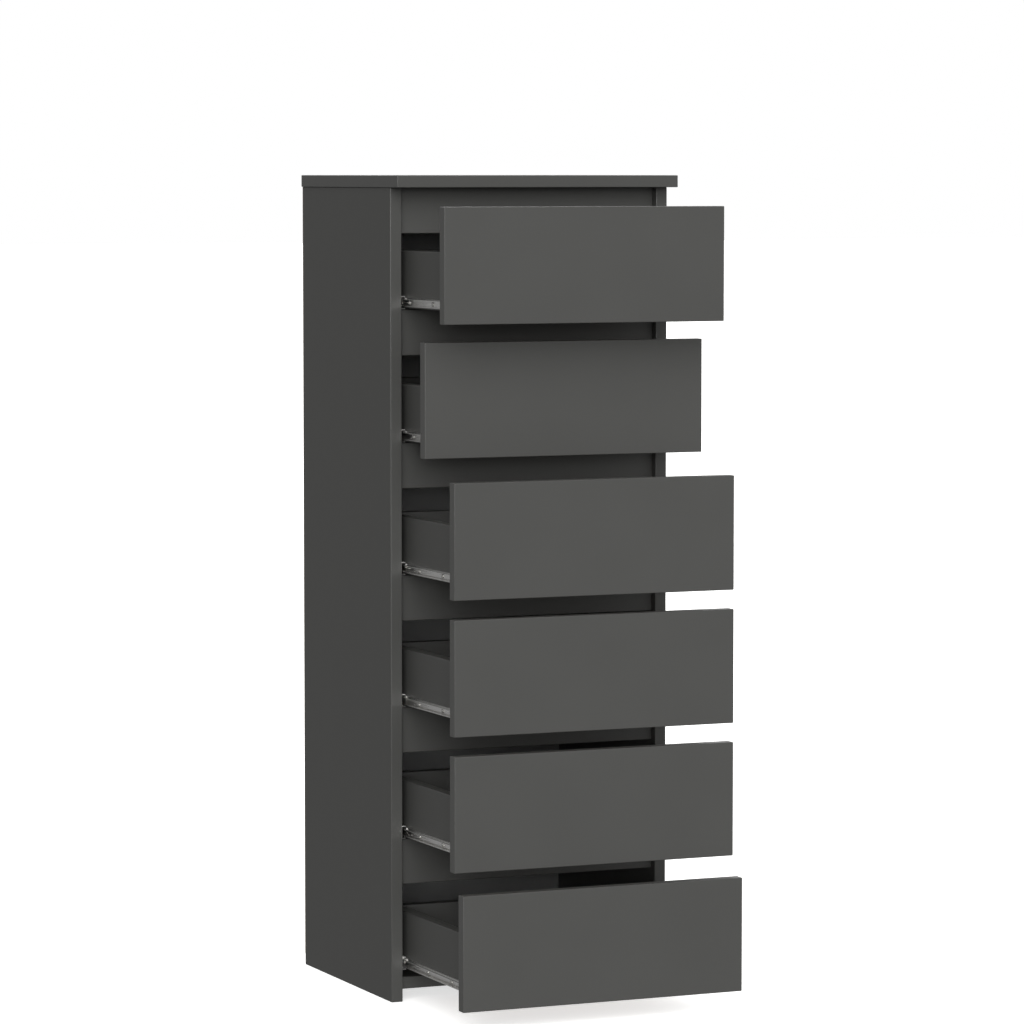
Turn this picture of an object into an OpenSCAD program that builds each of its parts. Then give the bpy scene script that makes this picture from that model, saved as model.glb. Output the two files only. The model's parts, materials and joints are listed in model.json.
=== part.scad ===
// Tall, narrow chest with six overlay drawers on ball-bearing runners.
// Millimetres, +Z up. The front faces -Y. The origin is on the floor, in the middle of the
// footprint of the chest with its drawers standing open as they are stored.

/* [Carcass] */
// Width over the two side panels
carcass_w = 400; // [340:1:600]
// Depth of the side panels, front edge to rear edge
side_d = 320; // [260:1:520]
// Thickness of the laminated chipboard
board_t = 16; // [15:0.5:22]
// Thickness of the hardboard back
back_t = 3; // [2.5:0.1:4]
// How far the top panel stands out in front of the side panels
top_front_overhang = 30; // [20:1:45]
// How far the top panel stands out past each side panel
top_side_overhang = 2; // [0:0.5:20]
// Height of the bottom panel's underside above the floor
bottom_z = 15; // [5:1:60]
// How far the hardboard back laps over the rear edge of the top panel
back_lap = 8; // [7:0.5:12]
// How far the hardboard back stops short of each side panel's outside face
back_inset = 1; // [0:0.5:4]

/* [Fronts] */
// Height of one drawer front
front_h = 150; // [120:1:220]
// Finger gap between one front and the next
front_gap = 25; // [15:1:40]
// Height of the lowest front's bottom edge above the bottom panel's underside
front_lap = 11.5; // [0:0.5:14]
// Gap between the highest front and the top panel
front_top_gap = 24; // [15:1:40]
// How far each end of a front stops short of the side panel's outside face
front_reveal = 2; // [0.5:0.5:6]
// Air between a closed front and the side panels' front edges
front_standoff = 1; // [0.5:0.1:3]

/* [Cross rails] */
// Height of a cross rail
rail_h = 60; // [56:1:80]
// How far the rails and the bottom panel stand back from the side panels' front edges
rail_recess = 11; // [5:1:30]
// How far a rail's top edge stands above the bottom edge of the front over it
rail_rise = 14; // [8:0.5:14]

/* [Drawer boxes] */
// Height of a box side's bottom edge above the front's bottom edge
box_lift = 16; // [16:0.5:30]
// Height of the box sides
box_side_h = 75; // [75:1:110]
// Air between a box's rear edge and the hardboard back, when closed
box_rear_gap = 17; // [5:1:60]
// Thickness of the hardboard drawer bottom
box_bottom_t = 3; // [2.5:0.1:4]
// Height of the bottom's groove above the box side's bottom edge
groove_up = 12; // [11:0.5:14]
// Depth of the groove
groove_depth = 6; // [4:0.5:7]
// Slack of a hardboard sheet in its groove
groove_slack = 0.2; // [0.1:0.05:0.5]

/* [Runners] */
// Room for one runner between a box side and the side panel
runner_gap = 10; // [10:0.1:13]
// Height of the runner's centre line above the box side's bottom edge
runner_up = 7.5; // [7.5:0.1:8.5]
// Height of the member on the side panel
outer_h = 17; // [17:0.1:17.6]
// Height of the member on the drawer
inner_h = 12; // [11.6:0.1:12.2]
// Thickness of the runners' steel strip
sheet_t = 0.8; // [0.7:0.05:0.9]
// Setback of the side panel's member from the panel's front edge
outer_setback = 8; // [1.5:0.5:10]
// Setback of the drawer's member from the back of the front
inner_setback = 1; // [0.5:0.1:3]
// Length of runner that stays engaged when a drawer is fully open
engaged_l = 71; // [69:1:100]
// Length of the ball cage
cage_l = 70; // [40:1:70]
// Diameter of the runner balls
ball_d = 2.6; // [2:0.1:2.6]
// Number of balls in one row of a cage
balls_in_row = 3; // [2:1:6]

/* [Fittings] */
// Distance from a joint face to the middle of its cam
cam_reach = 34; // [24:1:34]
// Radius of a cam
cam_r = 7.4; // [6:0.1:7.4]
// How far a cam reaches past the middle of its board
cam_past_mid = 4; // [3.4:0.1:5]
// Radius of a wooden dowel
dowel_r = 4; // [3:0.5:4]
// Part of a dowel in the face of a board
dowel_in_face = 10; // [8:0.5:12]
// Part of a dowel in the end of a board
dowel_in_end = 20; // [16:0.5:25]
// Radial slack of a fitting in its hole
hole_slack = 0.1; // [0.05:0.01:0.2]

/* [Stored opening] */
// How far drawer 1, the highest, stands open, as a percentage of its travel
open_1 = 73; // [0:0.1:100]
// How far drawer 2 stands open
open_2 = 43.3; // [0:0.1:100]
// How far drawer 3 stands open
open_3 = 87.4; // [0:0.1:100]
// How far drawer 4 stands open
open_4 = 87.4; // [0:0.1:100]
// How far drawer 5 stands open
open_5 = 87.4; // [0:0.1:100]
// How far drawer 6, the lowest, stands open
open_6 = 100; // [0:0.1:100]

/* [Hidden] */
drawer_count = 6;
DRAWERS = [1:drawer_count];
$fn = 48;
EPS = 0.01; // a cut runs this far past a face, so that none is left as a skin

// Finishes
graphite = "#555552";
hardboard = "#2e2d2b";
zinc = "#b9bbbd";
beech = "#d8b98a";

// Heights, from the floor up
front_pitch = front_h + front_gap;
function front_z(k) = bottom_z + front_lap + (drawer_count - k) * front_pitch;
carcass_h = front_z(1) + front_h + front_top_gap;
function rail_z(k) = (k == 1 ? carcass_h : front_z(k - 1) + rail_rise) - rail_h;

// Widths
front_w = carcass_w - 2 * front_reveal;
inner_w = carcass_w - 2 * board_t;
box_w = inner_w - 2 * runner_gap;
box_inner_w = box_w - 2 * board_t;

// Depths. Y counts from the side panels' front edges here, and place_whole() centres it
box_l = side_d - box_rear_gap + front_standoff;
runner_step = 50; // runners are sold in steps of this length
runner_l = runner_step * floor((box_l - inner_setback) / runner_step);
travel = runner_l + inner_setback - outer_setback - engaged_l;
opening = [for (share = [open_1, open_2, open_3, open_4, open_5, open_6]) travel * share / 100];
front_end_y = -front_standoff - board_t - max(opening);
nail_head_t = 0.5;
rear_end_y = side_d + back_t + nail_head_t;

// Drawer box heights above the front's bottom edge
groove_z = box_lift + groove_up;
back_foot_z = groove_z + box_bottom_t + groove_slack;
box_top_z = box_lift + box_side_h;
runner_z = box_lift + runner_up;

// Runner section: u runs from the side panel to the drawer, v up from the centre line
lip_setback = 2.6; // from the box side's face to the middle of a lip
lip_turn = 1.6; // depth of a lip, from the flange's outside
lip_u = runner_gap - lip_setback;
lip_v = outer_h / 2 - lip_turn;
inner_web_u = runner_gap - sheet_t / 2;
race_v = outer_h / 2 - sheet_t; // inside face of the outer member's flange
race_gap = 3; // height of the space that the balls run in
groove_v = race_v - race_gap - sheet_t / 2; // centre line of the drawer member's ball track
ball_u = 4.8; // middle of the ball tracks
ball_v = race_v - race_gap / 2;
track_u0 = 3.4; // the drawer member's track, from its free edge
track_u1 = 6.4; // to its shoulder
shoulder_v = inner_h / 2 - sheet_t / 2;
shoulder_u = track_u1 + shoulder_v - groove_v;
cage_t = 0.5; // thickness of the ball cage's strip
cage_web_u = 1.65; // middle of its web
cage_tip_u = 6.6; // ends of its flanges
ball_hole_r = ball_d / 2 + hole_slack;
cage_end = 8; // from a cage's end to its first ball
cage_clear = 2.2; // between a fully run-out cage and the stop tab
cage_closed_y = outer_setback + sheet_t + cage_clear + travel / 2;
stop_tab_h = 6;
cage_stop_u = 2.2; // reach of the front tab, which stops the cage
drawer_stop_u = 7; // reach of the rear tab, which stops the drawer's member

// Runner screws: places along each member, from its front end
runner_screw_r = 1.6;
runner_screw_l = 12;
pan_head_r = 3;
pan_head_t = 1.5;
screw_ys = [77, 157, runner_l - 60];
outer_screw_ys = [35, 131, runner_l - 44];
sunk_head_t = 1.8;
sunk_head_proud = 0.1;

// Cams, bolts and screws
cam_depth = board_t / 2 + cam_past_mid;
cam_bolt_r = 2.9;
cam_neck_r = 1.7;
cam_neck_l = 4; // of the neck that the cam's hook grips
cam_head_l = 3; // of the bolt's head beyond the neck
cam_head_past = 2; // how far the head passes the middle of the cam
cam_bolt_hole_r = 3.6;
cam_slot = [8, 1.4, 1.5]; // length, width and depth of the driver slots
thread_r = 2.5;
thread_l = 10.5;
hole_spare = 0.5; // a blind hole is this much deeper than what goes in
euro_head_r = 4.8; // the screws that hold a drawer's back between its sides
euro_shank_r = 3.4;
euro_head_t = 2.2;
euro_l = 50;
nail_r = 0.75;
nail_l = 20;
nail_head_r = 1.9;
nail_pitch = 120; // widest spacing of the nails along an edge
nail_corner = 30; // from the sheet's corner to the first nail

// Places of the fittings
end_margin = 50; // from a panel's front or rear edge to its first cam
dowel_margin = 90; // and to its first dowel
rail_bolt_up = 18; // above a rail's bottom edge
rail_dowel_up = 42;
rail_mid_y = rail_recess + board_t / 2;
bottom_mid_z = bottom_z + board_t / 2;
side_mid_x = carcass_w / 2 - board_t / 2;
box_cam_up = 50; // above the box side's bottom edge
box_dowel_up = 30;
euro_ups = [15, 45]; // above the drawer back's bottom edge

// Each joint is [point on the joint face, direction of the bolt or dowel, direction the cam faces].
// These are the left-hand ones, and the right-hand ones mirror them.
cross_cams = concat(
    [for (k = DRAWERS) [[-inner_w / 2, rail_mid_y, rail_z(k) + rail_bolt_up], [1, 0, 0], [0, 1, 0]]],
    [for (y = [end_margin, side_d - end_margin])
        [[-inner_w / 2, y, bottom_mid_z], [1, 0, 0], [0, 0, -1]]]);
cross_dowels = concat(
    [for (k = DRAWERS) [[-inner_w / 2, rail_mid_y, rail_z(k) + rail_dowel_up], [1, 0, 0], [0, 1, 0]]],
    [for (y = [dowel_margin, side_d - dowel_margin])
        [[-inner_w / 2, y, bottom_mid_z], [1, 0, 0], [0, 0, -1]]]);
top_cams = [for (y = [end_margin, side_d - end_margin])
    [[-side_mid_x, y, carcass_h], [0, 0, -1], [1, 0, 0]]];
top_dowels = [for (y = [dowel_margin, side_d - dowel_margin])
    [[-side_mid_x, y, carcass_h], [0, 0, -1], [1, 0, 0]]];
// These two are in the drawer's own frame
box_cams = [[[-box_w / 2 + board_t / 2, 0, box_lift + box_cam_up], [0, 1, 0], [1, 0, 0]]];
box_dowels = [[[-box_w / 2 + board_t / 2, 0, box_lift + box_dowel_up], [0, 1, 0], [1, 0, 0]]];

// Back sheet and its nails
back_top_z = carcass_h + back_lap;
back_w = carcass_w - 2 * back_inset;
function spread(lo, hi, step) =
    let (gaps = ceil((hi - lo) / step))
    [for (i = [0:gaps]) lo + (hi - lo) * i / gaps];
nail_zs = spread(bottom_z + nail_corner, carcass_h - nail_corner, nail_pitch);
nail_xs = spread(-inner_w / 2 + nail_corner, inner_w / 2 - nail_corner, nail_pitch);
nail_points = concat(
    [for (z = nail_zs, x = [-side_mid_x, side_mid_x]) [x, z]],
    [for (x = nail_xs) [x, bottom_mid_z]],
    [for (x = nail_xs) [x, carcass_h + back_lap / 2]]);

// ---- Helpers ----

// The whole chest, moved so that the middle of its stored footprint is at the origin
module place_whole() translate([0, -(front_end_y + rear_end_y) / 2, 0]) children();

// Drawer k's own frame: Y = 0 on the back of its front, Z = 0 on its bottom edge
module in_drawer(k)
    place_whole() translate([0, -front_standoff - opening[k - 1], front_z(k)]) children();

// The same for the ball cages, which run at half the drawer's speed
module in_cage(k)
    place_whole() translate([0, cage_closed_y - opening[k - 1] / 2, front_z(k)]) children();

// A block from its lowest corner to its highest
module block(lo, hi) translate(lo) cube(hi - lo);

// The shape and its mirror image in the chest's middle plane
module both_sides() {
    children();
    mirror([1, 0, 0]) children();
}

// Puts X along x_dir and Z along z_dir, with the origin at a point
module aim(joint) {
    at = joint[0];
    x_dir = joint[1];
    z_dir = joint[2];
    y_dir = cross(z_dir, x_dir);
    multmatrix([for (i = [0:2]) [x_dir[i], y_dir[i], z_dir[i], at[i]]]) children();
}

// A rod along X
module rod_x(x0, x1, r) translate([x0, 0, 0]) rotate([0, 90, 0]) cylinder(h = x1 - x0, r = r);

// A cone along X, from radius r0 at x0 to radius r1 at x1
module cone_x(x0, x1, r0, r1)
    translate([x0, 0, 0]) rotate([0, 90, 0]) cylinder(h = x1 - x0, r1 = r0, r2 = r1);

// Outline of a bent strip of thickness t along a path, mitred at its bends
function way(a, b) = (b - a) / norm(b - a);
function left_of(d) = [-d[1], d[0]];
function strip_point(path, i, w) =
    let (before = i == 0 ? way(path[0], path[1]) : way(path[i - 1], path[i]),
         after = i == len(path) - 1 ? before : way(path[i], path[i + 1]),
         n = left_of(before) + left_of(after))
    path[i] + n * w * 2 / (n * n);
function strip(path, t) = concat(
    [for (i = [0:len(path) - 1]) strip_point(path, i, t / 2)],
    [for (i = [len(path) - 1:-1:0]) strip_point(path, i, -t / 2)]);
// A half section above the centre line, carried on below it
function with_mirror(half) = concat(
    half, [for (i = [len(half) - 1:-1:0]) [half[i][0], -half[i][1]]]);

// A section in u and v, run back along Y from y0, on the left-hand side panel
module left_profile(path, t, y0, l)
    translate([-inner_w / 2, y0 + l, runner_z])
        rotate([90, 0, 0])
            linear_extrude(l) polygon(strip(path, t));

// ---- Fittings, in the frame that aim() sets ----

module cam_disc()
    difference() {
        translate([cam_reach, 0, board_t / 2 - cam_depth]) cylinder(h = cam_depth, r = cam_r);
        rod_x(cam_reach - cam_r - EPS, cam_reach + cam_r / 2, cam_bolt_hole_r);
        for (turn = [0, 90])
            translate([cam_reach, 0, board_t / 2]) rotate([0, 0, turn + 45])
                cube([cam_slot[0], cam_slot[1], 2 * cam_slot[2]], center = true);
    }

module cam_bolt() {
    head_x = cam_reach + cam_head_past - cam_head_l;
    rod_x(-thread_l, 0, thread_r);
    rod_x(0, head_x - cam_neck_l, cam_bolt_r);
    rod_x(head_x - cam_neck_l, head_x, cam_neck_r);
    rod_x(head_x, head_x + cam_head_l, cam_bolt_r);
}

// The holes for a cam and its bolt in the board that holds the cam
module cam_holes() {
    translate([cam_reach, 0, board_t / 2 - cam_depth - hole_slack])
        cylinder(h = cam_depth + hole_slack + EPS, r = cam_r + hole_slack);
    rod_x(-EPS, cam_reach, cam_bolt_hole_r);
}

// The hole in the face that the bolt screws into
module bolt_hole() rod_x(-thread_l - hole_spare, EPS, thread_r + hole_slack);

module dowel() {
    tip = 1; // chamfer at each end
    cone_x(-dowel_in_face, tip - dowel_in_face, dowel_r - tip, dowel_r);
    rod_x(tip - dowel_in_face, dowel_in_end - tip, dowel_r);
    cone_x(dowel_in_end - tip, dowel_in_end, dowel_r, dowel_r - tip);
}

module dowel_hole_in_face() rod_x(-dowel_in_face - hole_spare, EPS, dowel_r + hole_slack);
module dowel_hole_in_end() rod_x(-EPS, dowel_in_end + hole_spare, dowel_r + hole_slack);

// ---- Runner screws ----

// Points on the left-hand runners' centre lines, for the screws of the side panel's members
module at_outer_screws()
    for (k = DRAWERS, y = outer_screw_ys)
        translate([-inner_w / 2, outer_setback + y, front_z(k) + runner_z]) children();

// Points on the left-hand box side's outer face, in the drawer's frame
module at_inner_screws()
    for (y = screw_ys)
        translate([-box_w / 2, inner_setback + y, runner_z]) children();

module sunk_screw(slack = 0) {
    top = sheet_t + sunk_head_proud;
    cone_x(top - sunk_head_t - slack, top, runner_screw_r + slack, pan_head_r + slack);
    rod_x(top - runner_screw_l - slack, top - sunk_head_t, runner_screw_r + slack);
}

module pan_screw(slack = 0) {
    rod_x(-sheet_t, runner_screw_l - sheet_t + slack, runner_screw_r + slack);
    rod_x(-sheet_t - pan_head_t, -sheet_t, pan_head_r);
}

// ---- Carcass ----

module left_side_board()
    difference() {
        block([-carcass_w / 2, 0, 0], [-inner_w / 2, side_d, carcass_h]);
        for (j = cross_cams) aim(j) bolt_hole();
        for (j = cross_dowels) aim(j) dowel_hole_in_face();
        for (j = top_cams) aim(j) cam_holes();
        for (j = top_dowels) aim(j) dowel_hole_in_end();
        at_outer_screws() sunk_screw(hole_slack);
        for (z = nail_zs) nail_hole(-side_mid_x, z);
    }

module side_panel_left() color(graphite) place_whole() left_side_board();
module side_panel_right() color(graphite) place_whole() mirror([1, 0, 0]) left_side_board();

module top_panel()
    color(graphite) place_whole() difference() {
        half_w = carcass_w / 2 + top_side_overhang;
        block([-half_w, -top_front_overhang, carcass_h], [half_w, side_d, carcass_h + board_t]);
        both_sides() {
            for (j = top_cams) aim(j) bolt_hole();
            for (j = top_dowels) aim(j) dowel_hole_in_face();
        }
        for (x = nail_xs) nail_hole(x, carcass_h + back_lap / 2);
    }

module bottom_panel()
    color(graphite) place_whole() difference() {
        block([-inner_w / 2, rail_recess, bottom_z], [inner_w / 2, side_d, bottom_z + board_t]);
        both_sides() {
            for (j = cross_cams) aim(j) cam_holes();
            for (j = cross_dowels) aim(j) dowel_hole_in_end();
        }
        for (x = nail_xs) nail_hole(x, bottom_mid_z);
    }

module cross_rails()
    color(graphite) place_whole() difference() {
        for (k = DRAWERS)
            block([-inner_w / 2, rail_recess, rail_z(k)],
                  [inner_w / 2, rail_recess + board_t, rail_z(k) + rail_h]);
        both_sides() {
            for (j = cross_cams) aim(j) cam_holes();
            for (j = cross_dowels) aim(j) dowel_hole_in_end();
        }
    }

module back_panel()
    color(hardboard) place_whole() difference() {
        block([-back_w / 2, side_d, bottom_z], [back_w / 2, side_d + back_t, back_top_z]);
        for (p = nail_points) nail_hole(p[0], p[1]);
    }

// A nail's shank, from its head on the back sheet forward into the board
module nail_hole(x, z)
    translate([x, rear_end_y, z]) rotate([90, 0, 0])
        cylinder(h = nail_l + hole_spare, r = nail_r + hole_slack / 2);

module back_nails()
    color(zinc) place_whole()
        for (p = nail_points)
            translate([p[0], rear_end_y, p[1]]) rotate([90, 0, 0]) {
                cylinder(h = nail_head_t, r = nail_head_r);
                cylinder(h = nail_l, r = nail_r);
            }

module at_carcass_joints(joints)
    place_whole() both_sides() for (j = joints) aim(j) children();

module cam_discs() color(zinc) at_carcass_joints(concat(cross_cams, top_cams)) cam_disc();
module cam_bolts() color(zinc) at_carcass_joints(concat(cross_cams, top_cams)) cam_bolt();
module dowels() color(beech) at_carcass_joints(concat(cross_dowels, top_dowels)) dowel();

// The side panel's member: a channel with lips that keep the balls in, and a bent tab at each end
module outer_member() {
    half = [[lip_u, lip_v], [lip_u, race_v + sheet_t / 2], [sheet_t / 2, race_v + sheet_t / 2]];
    difference() {
        left_profile(with_mirror(half), sheet_t, outer_setback, runner_l);
        for (y = outer_screw_ys)
            translate([-inner_w / 2, outer_setback + y, runner_z])
                rod_x(-EPS, sheet_t + EPS, pan_head_r + 2 * hole_slack);
    }
    stop_tab(outer_setback, cage_stop_u);
    stop_tab(outer_setback + runner_l - sheet_t, drawer_stop_u);
}

module stop_tab(y, reach)
    translate([-inner_w / 2 + sheet_t, y, runner_z - stop_tab_h / 2])
        cube([reach - sheet_t, sheet_t, stop_tab_h]);

module cabinet_runners()
    color(zinc) place_whole() both_sides()
        for (k = DRAWERS) translate([0, 0, front_z(k)]) outer_member();

module runner_screws() color(zinc) place_whole() both_sides() at_outer_screws() sunk_screw();

// ---- Drawers ----

module drawer_front(k)
    color(graphite) in_drawer(k) difference() {
        block([-front_w / 2, -board_t, 0], [front_w / 2, 0, front_h]);
        block([-box_inner_w / 2 - groove_depth, -groove_depth, groove_z],
              [box_inner_w / 2 + groove_depth, EPS, back_foot_z]);
        both_sides() {
            for (j = box_cams) aim(j) bolt_hole();
            for (j = box_dowels) aim(j) dowel_hole_in_face();
        }
    }

module left_box_side()
    difference() {
        block([-box_w / 2, 0, box_lift], [-box_inner_w / 2, box_l, box_top_z]);
        block([-box_inner_w / 2 - groove_depth, -EPS, groove_z],
              [-box_inner_w / 2 + EPS, box_l + EPS, back_foot_z]);
        for (j = box_cams) aim(j) cam_holes();
        for (j = box_dowels) aim(j) dowel_hole_in_end();
        at_euro_screws() euro_screw(hole_slack);
        at_inner_screws() pan_screw(hole_slack);
    }

module drawer_side_left(k) color(graphite) in_drawer(k) left_box_side();
module drawer_side_right(k) color(graphite) in_drawer(k) mirror([1, 0, 0]) left_box_side();

module drawer_back(k)
    color(graphite) in_drawer(k) difference() {
        block([-box_inner_w / 2, box_l - board_t, back_foot_z], [box_inner_w / 2, box_l, box_top_z]);
        both_sides() at_euro_screws() euro_screw(hole_slack);
    }

module drawer_bottom(k)
    color(hardboard) in_drawer(k)
        block([-box_inner_w / 2 - groove_depth + groove_slack, -groove_depth + groove_slack, groove_z],
              [box_inner_w / 2 + groove_depth - groove_slack, box_l, groove_z + box_bottom_t]);

// Points on the left-hand box side's outer face, opposite the drawer back's end
module at_euro_screws()
    for (up = euro_ups)
        translate([-box_w / 2, box_l - board_t / 2, back_foot_z + up]) children();

module euro_screw(slack = 0) {
    cone_x(-slack, euro_head_t, euro_head_r + slack, euro_shank_r + slack);
    rod_x(euro_head_t, board_t, euro_shank_r + slack);
    rod_x(board_t, euro_l + slack, thread_r + slack);
}

// The drawer's member: a channel with a ball track pressed into each flange
module drawer_runners(k) {
    half = [[track_u0, groove_v], [track_u1, groove_v],
            [shoulder_u, shoulder_v], [inner_web_u, shoulder_v]];
    color(zinc) in_drawer(k) both_sides() difference() {
        left_profile(with_mirror(half), sheet_t, inner_setback, runner_l);
        at_inner_screws() rod_x(-sheet_t - EPS, EPS, runner_screw_r + 2 * hole_slack);
    }
}

module drawer_fasteners(k)
    color(zinc) in_drawer(k) both_sides() {
        for (j = box_cams) aim(j) {
            cam_disc();
            cam_bolt();
        }
        for (j = box_dowels) aim(j) dowel();
        at_euro_screws() euro_screw();
        at_inner_screws() pan_screw();
    }

// A thin channel with a hole for each ball, and the balls loose in it
module drawer_ball_cages(k) {
    half = [[cage_tip_u, ball_v], [cage_web_u, ball_v]];
    ball_pitch = (cage_l - 2 * cage_end) / (balls_in_row - 1);
    places = [for (i = [0:balls_in_row - 1]) cage_end + i * ball_pitch];
    color(zinc) in_cage(k) both_sides() {
        difference() {
            left_profile(with_mirror(half), cage_t, 0, cage_l);
            for (y = places)
                translate([-inner_w / 2 + ball_u, y, runner_z - outer_h / 2])
                    cylinder(h = outer_h, r = ball_hole_r);
        }
        for (y = places, v = [-ball_v, ball_v])
            translate([-inner_w / 2 + ball_u, y, runner_z + v]) sphere(d = ball_d);
    }
}

// ---- Nodes ----

side_panel_left();
side_panel_right();
top_panel();
bottom_panel();
back_panel();
cross_rails();
cabinet_runners();
runner_screws();
cam_discs();
cam_bolts();
dowels();
back_nails();
for (k = DRAWERS) {
    drawer_front(k);
    drawer_side_left(k);
    drawer_side_right(k);
    drawer_back(k);
    drawer_bottom(k);
    drawer_runners(k);
    drawer_fasteners(k);
    drawer_ball_cages(k);
}
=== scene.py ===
"""Looks of a tall, narrow chest with six overlay drawers on ball-bearing runners.

The packed model is the fixed frame. Its boards, sheets, cams and screws are replaced by pieces with milled
arrises, edge bands, pockets and driver recesses, and the bent-strip runners, ball cages, bolts, dowels and
nails keep their shape and get their finish here. Every place and size comes from the frame's own solids.
"""

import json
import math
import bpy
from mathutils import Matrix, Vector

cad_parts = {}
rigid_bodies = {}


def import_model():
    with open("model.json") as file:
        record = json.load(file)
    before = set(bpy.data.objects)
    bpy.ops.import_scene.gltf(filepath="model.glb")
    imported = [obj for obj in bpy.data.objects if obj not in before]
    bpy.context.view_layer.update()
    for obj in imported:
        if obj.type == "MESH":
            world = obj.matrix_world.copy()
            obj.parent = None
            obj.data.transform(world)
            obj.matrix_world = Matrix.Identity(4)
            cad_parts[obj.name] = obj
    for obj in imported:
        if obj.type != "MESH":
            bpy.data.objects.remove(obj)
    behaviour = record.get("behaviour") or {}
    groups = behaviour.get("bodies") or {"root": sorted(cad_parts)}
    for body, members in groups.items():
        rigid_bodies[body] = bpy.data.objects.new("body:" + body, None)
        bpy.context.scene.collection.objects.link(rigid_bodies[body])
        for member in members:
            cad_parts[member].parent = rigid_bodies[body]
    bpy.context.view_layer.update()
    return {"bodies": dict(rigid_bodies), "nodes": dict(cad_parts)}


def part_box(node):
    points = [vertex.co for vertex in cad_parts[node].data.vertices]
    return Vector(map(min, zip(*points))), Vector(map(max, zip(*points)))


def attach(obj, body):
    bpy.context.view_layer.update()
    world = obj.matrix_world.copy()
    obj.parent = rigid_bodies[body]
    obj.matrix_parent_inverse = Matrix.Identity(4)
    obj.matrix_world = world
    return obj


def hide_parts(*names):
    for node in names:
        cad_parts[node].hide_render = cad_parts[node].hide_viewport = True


bl_info = {
    "name": "Tall Chest of Drawers",
    "version": (1, 0, 0),
    "blender": (4, 5, 0),
    "location": "3D View > Sidebar > Chest",
    "description": "Builds the boards, fittings and finishes of a six-drawer chest around its packed model",
    "category": "Object",
}

import bmesh
import bpy
import numpy as np
from bpy.props import FloatProperty, FloatVectorProperty, IntProperty, PointerProperty
from mathutils import Euler, Vector
from mathutils.geometry import tessellate_polygon

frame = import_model()

MM = 0.001
X, Y, Z = 0, 1, 2
DRAWERS = sorted(body for body in frame["bodies"] if body.startswith("drawer_"))

# Slots of a board's three finishes
FACE, BAND, RAW = 0, 1, 2

# Corners in a round mouth and in a turned piece, and the most corners of a pocket that shades flat
ROUND_CORNERS = 32
TURNED_CORNERS = 24
SMOOTH_MOUTH = 12

# How near counts as lying on a face, as one point of the packed model, or as one corner of a new piece,
# and how near corners are to be welded
ON_FACE = 0.01 * MM
SAME_POINT = 0.01 * MM
SAME_CORNER = 0.001 * MM
WELD = 0.002 * MM

# Sizes that tell a drawer's fittings apart: every one is a least or greatest size, in metres
BACK_SCREW_LONGER = 45 * MM
RUNNER_SCREW_SHORTER = 15 * MM
RUNNER_SCREW_THINNER = 8 * MM
CAM_THICKER = 9 * MM
CAM_SMALLER = 16 * MM
DOWEL_THICK = (7.5 * MM, 8.5 * MM)
DOWEL_LONGER = 20 * MM

# Cams: the softened rim, and the driver's cross in the end
CAM_RIM = 0.5 * MM
CAM_CROSS_REACH = 3.8 * MM
CAM_CROSS_HALF_WIDTH = 0.8 * MM
CAM_CROSS_DEPTH = 2.2 * MM

# Shares of a driver's cross that are left at its floor, of a screw head that the cross takes up at most,
# and of the shank's radius that is left at the screw's point
CROSS_FLOOR_REACH = 0.45
CROSS_FLOOR_WIDTH = 0.6
SCREW_CROSS_REACH = 0.52
SCREW_CROSS_HALF_WIDTH = 0.13
SCREW_CROSS_DEPTH = 0.8
SCREW_TIP = 0.15

# Screw heads: shank over head, depth, and rows of (share of the radius, share of the depth)
SUNK_ROWS = [(0.97, 0.92), (1.0, 0.96), (0.98, 1.0)]
PAN_ROWS = [(1.0, 0.0), (1.0, 0.35), (0.95, 0.7), (0.8, 0.92), (0.65, 1.0)]
PAN_HEAD = {"shank": 0.53, "depth": 1.5 * MM, "rows": PAN_ROWS}
SUNK_HEAD = {"shank": 0.53, "depth": 1.8 * MM, "rows": SUNK_ROWS}
BACK_HEAD = {"shank": 0.71, "depth": 2.2 * MM, "rows": SUNK_ROWS}

# Cam bolts and dowels: chamfers, and the neck that the cam grips
DOWEL_TIP = 1 * MM
BOLT_TIP = 1 * MM
BOLT_TIP_SHARE = 0.8
BOLT_NECK = 4 * MM
BOLT_NECK_SHARE = 0.6
BOLT_HEAD = 3 * MM


def linear(code):
    """A colour given as sRGB hex, as linear red, green and blue."""
    values = np.array([int(code[i:i + 2], 16) for i in (1, 3, 5)]) / 255
    return tuple(np.where(values > 0.04045, ((values + 0.055) / 1.055) ** 2.4, values / 12.92).tolist())


def colour(name, code, description):
    """A colour setting that a user can change."""
    return FloatVectorProperty(
        name=name, description=description, subtype="COLOR", size=3, min=0, max=1, default=linear(code))


def length(name, millimetres, description):
    """A length setting, given in millimetres and kept in metres."""
    return FloatProperty(
        name=name, description=description, unit="LENGTH", min=0, precision=5, default=millimetres * MM)


def amount(name, default, description):
    """A setting that is a plain number from nought upwards."""
    return FloatProperty(name=name, description=description, default=default, min=0)


def turn(name, degrees, description):
    """An angle setting, given in degrees and kept in radians."""
    return FloatProperty(name=name, description=description, subtype="ANGLE", default=math.radians(degrees))


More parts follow.
